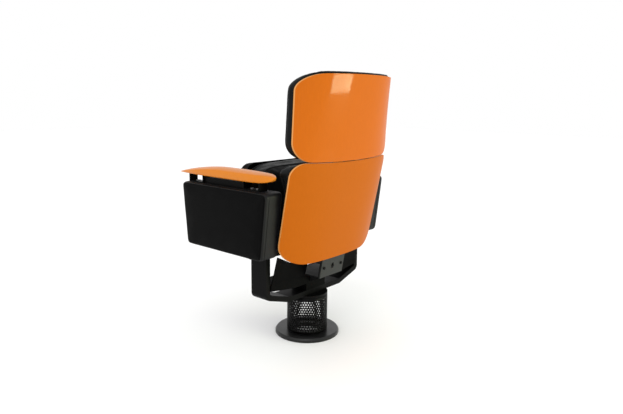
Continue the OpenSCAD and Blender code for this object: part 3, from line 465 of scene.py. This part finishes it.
def shell_low(u, upper):
    if upper:
        return SEAM + SEAM_GAP / 2 + SEAM_SAG * u * u + corner_turn(u, UPPER_FOOT_CORNER)
    return BACK_BOTTOM + FOOT_SAG * u * u + corner_turn(u, LOWER_FOOT_CORNER)


def shell_high(u, upper):
    if upper:
        return BACK_TOP - TOP_SAG * u * u - corner_turn(u, UPPER_TOP_CORNER)
    return SEAM - SEAM_GAP / 2 + SEAM_SAG * u * u - corner_turn(u, LOWER_TOP_CORNER)


def across_shares(steps):
    """Shares of the half width from -1 to 1, closer together near both sides."""
    return [math.sin(mix(-math.pi / 2, math.pi / 2, i / steps)) for i in range(steps + 1)]


SHELL_COLUMNS, SHELL_ROWS = 96, 28
RIM_THINNING, RIM_POWER = 0.45, 10


def build_shell(name, upper, key):
    """A bent board that thins towards its side edges, with a paler rim."""
    verts = []
    for is_front in (False, True):
        for u in across_shares(SHELL_COLUMNS):
            low, high = shell_low(u, upper), shell_high(u, upper)
            d = SHELL_T * (1 - RIM_THINNING * abs(u) ** RIM_POWER) if is_front else 0.0
            for j in range(SHELL_ROWS + 1):
                z = mix(low, high, j / SHELL_ROWS)
                verts.append(back_point(z, d, back_value(z, BACK_HALF) * u))
    n, m = SHELL_COLUMNS + 1, SHELL_ROWS + 1
    shift = n * m
    faces = grid_faces(n, m)
    faces += [tuple(v + shift for v in reversed(f)) for f in faces]
    panels = len(faces)
    for i in range(SHELL_COLUMNS):
        for j in (0, SHELL_ROWS):
            a, b = i * m + j, (i + 1) * m + j
            faces.append((a, b, b + shift, a + shift))
    for j in range(SHELL_ROWS):
        for i in (0, SHELL_COLUMNS):
            a, b = i * m + j, i * m + j + 1
            faces.append((a, b, b + shift, a + shift))
    obj = mesh_object(name, verts, faces, key)
    obj.data.materials.append(MAT["edge"])
    for p in obj.data.polygons[panels:]:
        p.material_index = 1
    add_bevel(obj, RIM_BEVEL * MM, RIM_BEVEL_ANGLE)
    return obj


upper_shell = build_shell("upper_back_shell", True, "upper")
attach(upper_shell, "frame")
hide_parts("upper_shell")
lower_shell = build_shell("lower_back_shell", False, "lower")
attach(lower_shell, "frame")
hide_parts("lower_shell")


# Cushions: each starts from its CAD solid and is puffed by a cloth simulation


def welded_copy(node, name):
    me = NODES[node].data.copy()
    weld(me, 1e-5)
    me.materials.clear()
    return linked(name, me)


VOXEL, SHRINK, PRESSURE, CLOTH_FRAMES = 0.006, 0.003, 3.0, 18
SMOOTH_BEFORE, SMOOTH_AFTER = 5, 8
# A point is held where its normal turns more than this towards the shell or the pan
BACK_HELD, SEAT_HELD = 0.55, 0.8


def blown_up(obj, co, fixed, cap):
    """Where the points of obj go as cloth that holds the fixed ones, none further than cap."""
    group = obj.vertex_groups.new(name="held")
    group.add([int(i) for i in np.nonzero(fixed)[0]], 1.0, "REPLACE")
    c = obj.modifiers.new("cloth", "CLOTH")
    c.settings.quality = 5
    c.settings.mass = 0.3
    c.settings.tension_stiffness = 12
    c.settings.compression_stiffness = 12
    c.settings.shear_stiffness = 5
    c.settings.bending_stiffness = 0.6
    c.settings.use_pressure = True
    c.settings.uniform_pressure_force = PRESSURE
    c.settings.effector_weights.gravity = 0
    c.settings.vertex_group_mass = "held"
    c.point_cache.frame_start = 1
    c.point_cache.frame_end = CLOTH_FRAMES
    scene = bpy.context.scene
    for f in range(1, CLOTH_FRAMES + 1):
        scene.frame_set(f)
    deps = bpy.context.evaluated_depsgraph_get()
    out = bpy.data.meshes.new_from_object(obj.evaluated_get(deps))
    moved = coords(out) - co
    k = np.minimum(1.0, cap / np.maximum(np.linalg.norm(moved, axis=1), 1e-9))
    bpy.data.meshes.remove(out)
    obj.modifiers.clear()
    obj.vertex_groups.clear()
    scene.frame_set(1)
    return co + moved * k[:, None]


def puff(obj, key, held, cap):
    """Remeshes obj, holds the points that held() names, and blows the rest up as cloth."""
    r = obj.modifiers.new("remesh", "REMESH")
    r.mode = "VOXEL"
    r.voxel_size = VOXEL
    baked(obj)
    smoothed(obj, SMOOTH_BEFORE)
    me = obj.data
    co, no = coords(me), vertex_normals(me)
    fixed = held(no)
    co = co - no * np.where(fixed, 0.0, SHRINK)[:, None]
    set_coords(me, co)
    set_coords(me, blown_up(obj, co, fixed, cap))
    smoothed(obj, SMOOTH_AFTER)
    smooth_shading(obj.data)
    set_material(obj, key)


def back_held(no):
    """The cushion's rear, which lies on its shell."""
    return no[:, 1] > BACK_HELD


CORNER_X, CORNER_Z, CORNER_DEPTH = (0.165, 0.262), (0.895, 0.990), 0.050
CORNER_PULL = (0.012, 0.016)
TOP_LIFT, TOP_FROM, TOP_RANGE = 0.0032, 0.950, 0.030


def soften_top_corners(obj):
    """Pulls the upper corners of the cushion's front in and lifts its top edge a little."""
    co = coords(obj.data)
    shell_y = np.array([back_point(z, SHELL_T, x).y for x, _, z in co])
    aside = np.clip((np.abs(co[:, 0]) - CORNER_X[0]) / (CORNER_X[1] - CORNER_X[0]), 0, 1)
    above = np.clip((co[:, 2] - CORNER_Z[0]) / (CORNER_Z[1] - CORNER_Z[0]), 0, 1)
    share = aside * above * np.clip((shell_y - co[:, 1]) / CORNER_DEPTH, 0, 1)
    co[:, 0] -= np.sign(co[:, 0]) * share * CORNER_PULL[0]
    co[:, 2] += TOP_LIFT * np.clip((co[:, 2] - TOP_FROM) / TOP_RANGE, 0, 1)
    co[:, 2] -= share * CORNER_PULL[1]
    set_coords(obj.data, co)


head = welded_copy("head_cushion", "head_pad")
puff(head, "back_leather", back_held, cap=0.007)
soften_top_corners(head)
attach(head, "frame")
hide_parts("head_cushion")

lumbar = welded_copy("lower_cushion", "lumbar_pad")
puff(lumbar, "back_leather", back_held, cap=0.006)
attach(lumbar, "frame")
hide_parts("lower_cushion")

COS, SIN = math.cos(SEAT_REST), math.sin(SEAT_REST)


def seat_point(x, y, z):
    """A point of the level seat, about its hinge, put in its tipped-up place."""
    return HINGE + Vector((x, y * COS + z * SIN, -y * SIN + z * COS))


def seat_held(no):
    """The underside of the seat cushion, which lies on its pan."""
    return no @ np.array((0, -SIN, -COS)) > SEAT_HELD


seat = welded_copy("seat_cushion", "seat_pad")
puff(seat, "seat_leather", seat_held, cap=0.007)
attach(seat, "seat")
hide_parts("seat_cushion")


# Welts of the cushions, where a front or top panel meets the side band

WELT_R, WELT_LIFT, WELT_INSET = 0.0022, 0.0006, 0.006
EDGE_STEPS, SIDE_STEPS = 60, 16
CUSHION_OVER = 0.004
HEAD_DEPTH, HEAD_RISE = 0.030, 0.011
LUMBAR_DEPTHS, LUMBAR_FOOT_RISE = (0.028, 0.044), 0.003
LUMBAR_NARROW, LUMBAR_WIDENS, LUMBAR_WIDENING = 0.251, 0.605, 0.060


def head_half(z):
    return back_value(z, BACK_HALF) + CUSHION_OVER


def lumbar_half(z):
    return mix(LUMBAR_NARROW, head_half(z), ease((z - LUMBAR_WIDENS) / LUMBAR_WIDENING))


def lumbar_depth(z):
    return mix(*LUMBAR_DEPTHS, (z - BACK_BOTTOM) / (SEAM - BACK_BOTTOM))


def cushion_border(upper, foot_rise, top_rise, depth, half):
    """Points round the edge of a back cushion's front panel."""

    def z_low(u):
        return shell_low(u, upper) + WELT_INSET + foot_rise

    def z_high(u):
        return shell_high(u, upper) + top_rise - WELT_INSET

    us = across_shares(EDGE_STEPS)
    side = [mix(z_low(1), z_high(1), k / SIDE_STEPS) for k in range(1, SIDE_STEPS)]
    border = [(u, z_low(u)) for u in us] + [(1.0, z) for z in side]
    border += [(u, z_high(u)) for u in reversed(us)] + [(-1.0, z) for z in reversed(side)]
    return [back_point(z, SHELL_T + depth(z), (half(z) - WELT_INSET) * u) for u, z in border]


head_welt = seam_on("head_pad_welt", head,
                    cushion_border(True, 0.0, HEAD_RISE, lambda z: HEAD_DEPTH, head_half),
                    WELT_R, WELT_LIFT)
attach(head_welt, "frame")
lumbar_welt = seam_on("lumbar_pad_welt", lumbar,
                      cushion_border(False, LUMBAR_FOOT_RISE, 0.0, lumbar_depth, lumbar_half),
                      WELT_R, WELT_LIFT)
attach(lumbar_welt, "frame")

SEAT_WELT_POINTS = 120
SEAT_WELTS = (("top", 0.034, 0.004), ("low", -0.034, 0.0))


def seat_border(z, inset):
    """Points round the seat cushion's bowed ring at the height z of the level seat."""
    pts = []
    for i in range(SEAT_WELT_POINTS):
        a = 2 * math.pi * i / SEAT_WELT_POINTS
        c, s = math.cos(a), math.sin(a)
        x = math.copysign(abs(c) ** SEAT_RING_POWER, c) * (SEAT_HALF - inset)
        v = math.copysign(abs(s) ** SEAT_RING_POWER, s)
        y = v * (SEAT_HALF_LENGTH - inset) + SEAT_MID
        if v < 0:
            y += SEAT_BOW * abs(x / SEAT_HALF) ** SEAT_BOW_POWER * v * v
        pts.append(seat_point(x, y, z))
    return pts


for label, z, inset in SEAT_WELTS:
    welt = seam_on("seat_pad_welt_" + label, seat, seat_border(z, inset), WELT_R, WELT_LIFT)
    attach(welt, "seat")


# Arm boxes: upholstered boxes with a boxing strip between two sewn panels

BOX_R, BOX_CORNER, LEAST_CORNER = 0.012, 0.0142, 0.002
BOX_STEPS, STRIP_HOLLOW = 6, 0.0006
PANEL_CROWN = 0.003
# The rings of the inner and the outer panel: how far each is inset, and its place along x
# from the panel's edge
INNER_RINGS = [(0.05, 0.0002), (0.02, 0.0)]
OUTER_RINGS = [(0.010, 0.0011), (0.022, 0.0020), (0.040, 0.0026), (0.070, PANEL_CROWN)]
STRIP_FROM, STRIP_TO = ARM_IN + 0.005, ARM_OUT - 0.007
PUCKER = 0.00045
SEAM_LIFT, SEAM_CORNER = 0.0004, 0.013
# Name, place along x, inset and radius of each seam
ARM_SEAMS = (("outer", STRIP_TO, 0.0035, 0.0016), ("strip", ARM_OUT - 0.021, 0.0, 0.0009),
             ("inner", STRIP_FROM, 0.003, 0.0016))


def inset_outline(d):
    pts = []
    n = len(ARM_OUTLINE)
    for i in range(n):
        p = Vector(ARM_OUTLINE[i])
        e1 = (p - Vector(ARM_OUTLINE[i - 1])).normalized()
        e2 = (Vector(ARM_OUTLINE[(i + 1) % n]) - p).normalized()
        n1, n2 = Vector((-e1.y, e1.x)), Vector((-e2.y, e2.x))
        pts.append(p + (n1 + n2) * d / (1 + n1.dot(n2)))
    return pts


def half_angle(a, b):
    """Half the angle between two unit vectors."""
    return math.acos(max(-1, min(1, a.dot(b)))) / 2


def rounded_outline(d, r, per_side=16, per_corner=8):
    """The box's outline, inset by d, with its corners rounded by r."""
    base = inset_outline(d)
    n = len(base)
    out = []
    for i in range(n):
        p, a, b = base[i], base[i - 1], base[(i + 1) % n]
        u, v = (a - p).normalized(), (b - p).normalized()
        half = half_angle(u, v)
        c = p + (u + v).normalized() * r / math.sin(half)
        s, e = p + u * r / math.tan(half), p + v * r / math.tan(half)
        start, end = math.atan2(s.y - c.y, s.x - c.x), math.atan2(e.y - c.y, e.x - c.x)
        turn = (end - start + math.pi) % (2 * math.pi) - math.pi
        for k in range(per_corner + 1):
            t = start + turn * k / per_corner
            out.append(c + r * Vector((math.cos(t), math.sin(t))))
        w = (base[(i + 2) % n] - b).normalized()
        side_start, side_end = out[-1], b - v * r / math.tan(half_angle(-v, w))
        for k in range(1, per_side):
            out.append(side_start.lerp(side_end, k / per_side))
    return out


def arm_box(name, side):
    """The box whose side is 1 for the sitter's left and -1 for the right."""
    outer = ARM_OUT - PANEL_CROWN
    quarter = [math.pi / 2 * k / BOX_STEPS for k in range(BOX_STEPS + 1)]
    rings = [(ARM_IN + up, BOX_R + inset) for inset, up in INNER_RINGS]
    rings += [(ARM_IN + BOX_R * (1 - math.cos(a)), BOX_R * (1 - math.sin(a))) for a in quarter]
    for k in range(1, BOX_STEPS):
        share = k / BOX_STEPS
        rings.append((mix(ARM_IN + BOX_R, outer - BOX_R, share),
                      -STRIP_HOLLOW * math.sin(math.pi * share)))
    rings += [(outer - BOX_R * (1 - math.sin(a)), BOX_R * (1 - math.cos(a))) for a in quarter]
    rings += [(outer + up, BOX_R + inset) for inset, up in OUTER_RINGS]
    verts = []
    for x, d in rings:
        ring = rounded_outline(d, max(BOX_CORNER - d, LEAST_CORNER))
        verts += [(side * x, p.x, p.y) for p in ring]
    obj = mesh_object(name, verts, loft_faces(len(rings), len(ring)), "arm_leather")
    me = obj.data
    # The strip round the box takes the paler leather, as painted light on its top and rear
    me.materials.append(MAT["strip_leather_painted_light"])
    for p in me.polygons:
        if STRIP_FROM < abs(p.center.x) < STRIP_TO:
            p.material_index = 1
    co, no = coords(me), vertex_normals(me)
    y, z = co[:, 1], co[:, 2]
    soft = (np.sin(y * 61 + z * 23) * np.sin(z * 47 - y * 19)
            + 0.5 * np.sin(y * 133 + 1.7) * np.sin(z * 121 + 0.4))
    set_coords(me, co + no * (soft * PUCKER)[:, None])
    return obj


for side, word in SIDES:
    box = arm_box("arm_box_" + word, side)
    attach(box, "frame")
    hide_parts("arm_cover_" + word)
    for label, x, inset, radius in ARM_SEAMS:
        path = [(side * x, p.x, p.y) for p in rounded_outline(inset, SEAM_CORNER)]
        seam = seam_on("arm_seam_" + label + "_" + word, box, path, radius, SEAM_LIFT)
        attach(seam, "frame")


# Arm pads: leaf-shaped boards with a crisp edge between the top and the side

PAD_STATIONS, PAD_NARROWING = 96, 0.93
# How far the pad's upper edge drops at its front and at its rear end
PAD_DROPS = (PAD_SIDE, PAD_SIDE - PAD_RISE)
PAD_UNDER_STEPS, PAD_UNDER_SHARE, PAD_UNDER_ROUND = 8, 0.84, 0.04
PAD_OVER_STEPS, PAD_OVER_SHARE, PAD_OVER_EDGE, PAD_OVER_CURVE = 12, 0.97, 0.16, 2.2
# Shares of the half width and of the side's height, down the pad's side from its edge
PAD_SIDE_SHARES = [(1.0, 0.04), (0.985, 0.35), (0.93, 0.80)]


def pad_swell(t, power):
    return 1 - PAD_NARROWING * abs(t) ** power


def pad_ring(half, low, high):
    """Points round the pad's section, across and up from its edge."""
    ring = []
    for k in range(PAD_UNDER_STEPS + 1):
        f = -1 + 2 * k / PAD_UNDER_STEPS
        ring.append((f * PAD_UNDER_SHARE * half, -low * (1 - PAD_UNDER_ROUND * abs(f) ** 4)))
    ring += [(a * half, -low * b) for a, b in reversed(PAD_SIDE_SHARES)]
    for k in range(PAD_OVER_STEPS + 1):
        f = 1 - 2 * k / PAD_OVER_STEPS
        rise = mix(PAD_OVER_EDGE, 1, 1 - abs(f) ** PAD_OVER_CURVE)
        ring.append((f * PAD_OVER_SHARE * half, high * rise))
    return ring + [(-a * half, -low * b) for a, b in PAD_SIDE_SHARES]


def arm_pad(name, side):
    verts = []
    for i in range(PAD_STATIONS + 1):
        # From -1 in front to 1 at the rear
        t = -math.cos(math.pi * i / PAD_STATIONS)
        end = 0 if t < 0 else 1
        y = PAD_FRONT + PAD_LEN * (t + 1) / 2
        z = PAD_UNDER + PAD_SIDE - PAD_DROPS[end] * abs(t) ** PAD_EDGE_POWERS[end]
        ring = pad_ring(PAD_HALF * pad_swell(t, PAD_WIDE_POWERS[end]),
                        PAD_SIDE * pad_swell(t, PAD_EDGE_POWERS[end]),
                        PAD_CROWN * pad_swell(t, PAD_OVER_POWER))
        verts += [(side * (ARM_MID + x), y, z + dz) for x, dz in ring]
    obj = mesh_object(name, verts, loft_faces(PAD_STATIONS + 1, len(ring)), "pad")
    even_normals(obj)
    return obj


for side, word in SIDES:
    pad = arm_pad("arm_board_" + word, side)
    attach(pad, "frame")
    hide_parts("arm_pad_" + word)


# Pedestal tube with its fine perforation

TUBE_COLUMNS, TUBE_ROWS = 48, 13
HOLE_R = 0.0036
HOLES_LOW, HOLES_HIGH = 0.022, TUBE_BAND - 0.002
TOP_CLEAR = 0.0002
# The border of one cell of the perforation, in shares of its width and height
CELL = [(0, 0), (0.25, 0), (0.5, 0), (0.75, 0), (1, 0), (1, 0.5), (1, 1), (0.75, 1),
        (0.5, 1), (0.25, 1), (0, 1), (0, 0.5)]


def tube_point(u, z):
    """The point of the tube's outside at the column u and the height z."""
    a = 2 * math.pi * u / TUBE_COLUMNS
    return (TUBE_R * math.cos(a), TUBE_R * math.sin(a), z)


def perforated_tube():
    height = (HOLES_HIGH - HOLES_LOW) / TUBE_ROWS
    width = 2 * math.pi * TUBE_R / TUBE_COLUMNS
    verts, faces = [], []
    for row in range(TUBE_ROWS):
        for column in range(TUBE_COLUMNS):
            u0 = column + 0.5 * (row % 2)
            z0 = HOLES_LOW + row * height
            start, n = len(verts), len(CELL)
            verts += [tube_point(u0 + u, z0 + v * height) for u, v in CELL]
            for u, v in CELL:
                dx, dz = (u - 0.5) * width, (v - 0.5) * height
                r = math.hypot(dx, dz)
                verts.append(tube_point(u0 + 0.5 + HOLE_R * dx / r / width,
                                        z0 + 0.5 * height + HOLE_R * dz / r))
            for k in range(n):
                a, b = start + k, start + (k + 1) % n
                faces.append((a, b, b + n, a + n))
    for low, high in ((TUBE_FOOT, HOLES_LOW), (HOLES_HIGH, TUBE_TOP - TOP_CLEAR)):
        for k in range(TUBE_COLUMNS * 4):
            u0, u1 = k / 4, (k + 1) / 4
            start = len(verts)
            verts += [tube_point(u0, low), tube_point(u1, low),
                      tube_point(u1, high), tube_point(u0, high)]
            faces.append((start, start + 1, start + 2, start + 3))
    obj = mesh_object("pedestal_screen", verts, faces, "tube")
    s = obj.modifiers.new("wall", "SOLIDIFY")
    s.thickness = TUBE_T
    s.offset = -1
    return obj


screen = perforated_tube()
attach(screen, "frame")
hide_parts("pedestal_tube")


# Floor, camera and light

FLOOR_HALF = 14


def floor_material():
    m, tree, s = new_material("floor_pale")
    tone = noise(tree, place(tree), scale=1.2, detail=2)
    tree.links.new(grey_ramp(tree, tone, 0.96, 0.98, ends=(0.2, 0.8)), s.inputs["Base Color"])
    s.inputs["Roughness"].default_value = 0.7
    return m


bm = bmesh.new()
bmesh.ops.create_grid(bm, x_segments=1, y_segments=1, size=FLOOR_HALF)
floor_mesh = bpy.data.meshes.new("floor")
bm.to_mesh(floor_mesh)
bm.free()
floor = linked("floor", floor_mesh)
floor.data.materials.append(floor_material())

world = bpy.data.worlds.new("studio")
bpy.context.scene.world = world
world.use_nodes = True
world.node_tree.nodes["Background"].inputs["Color"].default_value = (1, 1, 1, 1)
world.node_tree.nodes["Background"].inputs["Strength"].default_value = 1.0
bpy.context.scene.view_settings.view_transform = "Standard"

# The camera, fitted to the photograph: behind the chair on its left
AZIMUTH, DISTANCE, HEIGHT = math.radians(130.84), 2.12099, 0.90285
PAN, PITCH, ROLL = math.radians(0.353), math.radians(10.79), math.radians(0.57)
FOCAL_PX, PHOTO_WIDTH, SENSOR = 565.62, 623, 36
UP = Vector((0, 0, 1))
eye = Vector((math.sin(AZIMUTH) * DISTANCE, -math.cos(AZIMUTH) * DISTANCE, HEIGHT))
level = Vector((-math.sin(AZIMUTH), math.cos(AZIMUTH), 0))
ahead = level * math.cos(PAN) + level.cross(UP) * math.sin(PAN)
right = ahead.cross(UP)
look = ahead * math.cos(PITCH) - UP * math.sin(PITCH)
above = right.cross(look)
rolled_right = right * math.cos(ROLL) + above * math.sin(ROLL)
rolled_up = above * math.cos(ROLL) - right * math.sin(ROLL)

cam = bpy.data.cameras.new("camera")
cam.sensor_width = SENSOR
cam.sensor_fit = "HORIZONTAL"
cam.lens = SENSOR * FOCAL_PX / PHOTO_WIDTH
camera = linked("camera", cam)
turned = Matrix((rolled_right, rolled_up, -look)).transposed().to_4x4()
camera.matrix_world = Matrix.Translation(eye) @ turned
bpy.context.scene.camera = camera


def softbox(name, at, target, wide, high, power, colour):
    light = bpy.data.lights.new(name, "AREA")
    light.shape = "RECTANGLE"
    light.size = wide
    light.size_y = high
    light.energy = power
    light.color = colour
    obj = linked(name, light)
    obj.location = at
    obj.rotation_euler = (target - at).to_track_quat("-Z", "Y").to_euler()


# A wide softbox mirrored in the upper shell, where the photograph shows a pale patch. It is made of
# strips, each further aside than the one above, so that its image on the curved shell is upright.
SPOT_X_SHARE, SPOT_Z, STEP = 0.485, 0.958, 0.001
PATCH_AWAY, PATCH_WIDE, PATCH_HIGH, PATCH_POWER = 2.4, 1.42, 0.20, 27
PATCH_STRIPS, PATCH_LEAN = 6, 1.55
PATCH_COLOUR = (0.90, 1.0, 0.62)
spot = back_point(SPOT_Z, 0, SPOT_X_SHARE * back_value(SPOT_Z, BACK_HALF))
across = back_point(SPOT_Z, 0, spot.x + STEP) - spot
upward = back_point(SPOT_Z + STEP, 0, spot.x) - spot
normal = upward.cross(across).normalized()
to_spot = (spot - eye).normalized()
mirror = to_spot - 2 * to_spot.dot(normal) * normal
patch_up = (UP - mirror * mirror.dot(UP)).normalized()
for k in range(PATCH_STRIPS):
    rise = PATCH_HIGH * ((k + 0.5) / PATCH_STRIPS - 0.5)
    target = spot + patch_up * rise - right * (PATCH_LEAN * rise)
    softbox("patch_light_%d" % k, target + mirror * PATCH_AWAY, target, PATCH_WIDE,
            PATCH_HIGH / PATCH_STRIPS, PATCH_POWER / PATCH_STRIPS, PATCH_COLOUR)

SUN_FROM = Vector((0.80, 0.25, 0.75))
sky = bpy.data.lights.new("top_sun", "SUN")
sky.energy = 0.8
sky.angle = math.radians(60)
linked("top_sun", sky).rotation_euler = SUN_FROM.to_track_quat("Z", "Y").to_euler()
